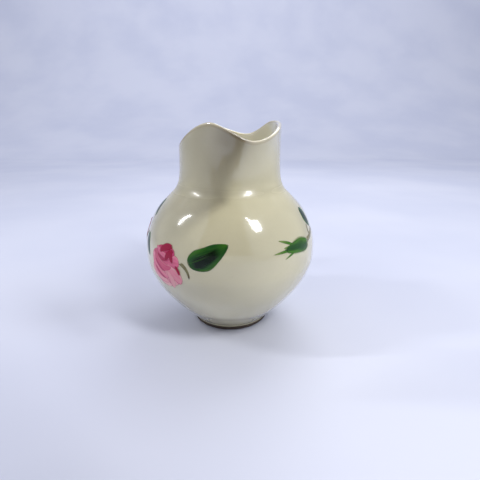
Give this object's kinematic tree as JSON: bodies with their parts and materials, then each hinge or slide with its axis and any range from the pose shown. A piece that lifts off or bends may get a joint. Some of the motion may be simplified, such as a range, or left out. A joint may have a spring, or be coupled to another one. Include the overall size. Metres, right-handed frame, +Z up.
{
  "type": "cream jug",
  "caption": "Small round-bellied porcelain cream jug with a waved rim, pouring lip, loop handle and rose sprays in enamel.",
  "frame": {"origin": "on the belly's axis, in the plane that the foot ring stands on", "axes": "+Z up; -Y is the way the pouring lip points, +Y is the handle side"},
  "size_m": [0.0819, 0.1096, 0.0978],
  "materials": {
    "glaze_cream": "clear glossy glaze over a warm cream body, lightly mottled",
    "bare_porcelain": "unglazed fired foot, matt and slightly stained",
    "enamel_pink": "painted pink enamel, brushed and glossy",
    "enamel_rose": "painted deep rose enamel, glossy",
    "enamel_green": "painted leaf-green enamel with a lighter edge, glossy",
    "enamel_bud": "painted green enamel with a touch of pink, glossy",
    "enamel_olive": "painted olive-brown enamel line, glossy"
  },
  "bodies": {
    "root": {"belly": "glaze_cream", "neck_and_spout": "glaze_cream", "handle": "glaze_cream", "foot_ring": "bare_porcelain", "rose_petals": "enamel_pink", "rose_hearts": "enamel_rose", "rose_leaves": "enamel_green", "bud_sepals": "enamel_green", "rosebuds": "enamel_bud", "rose_stems": "enamel_olive"}
  },
  "joints": []
}
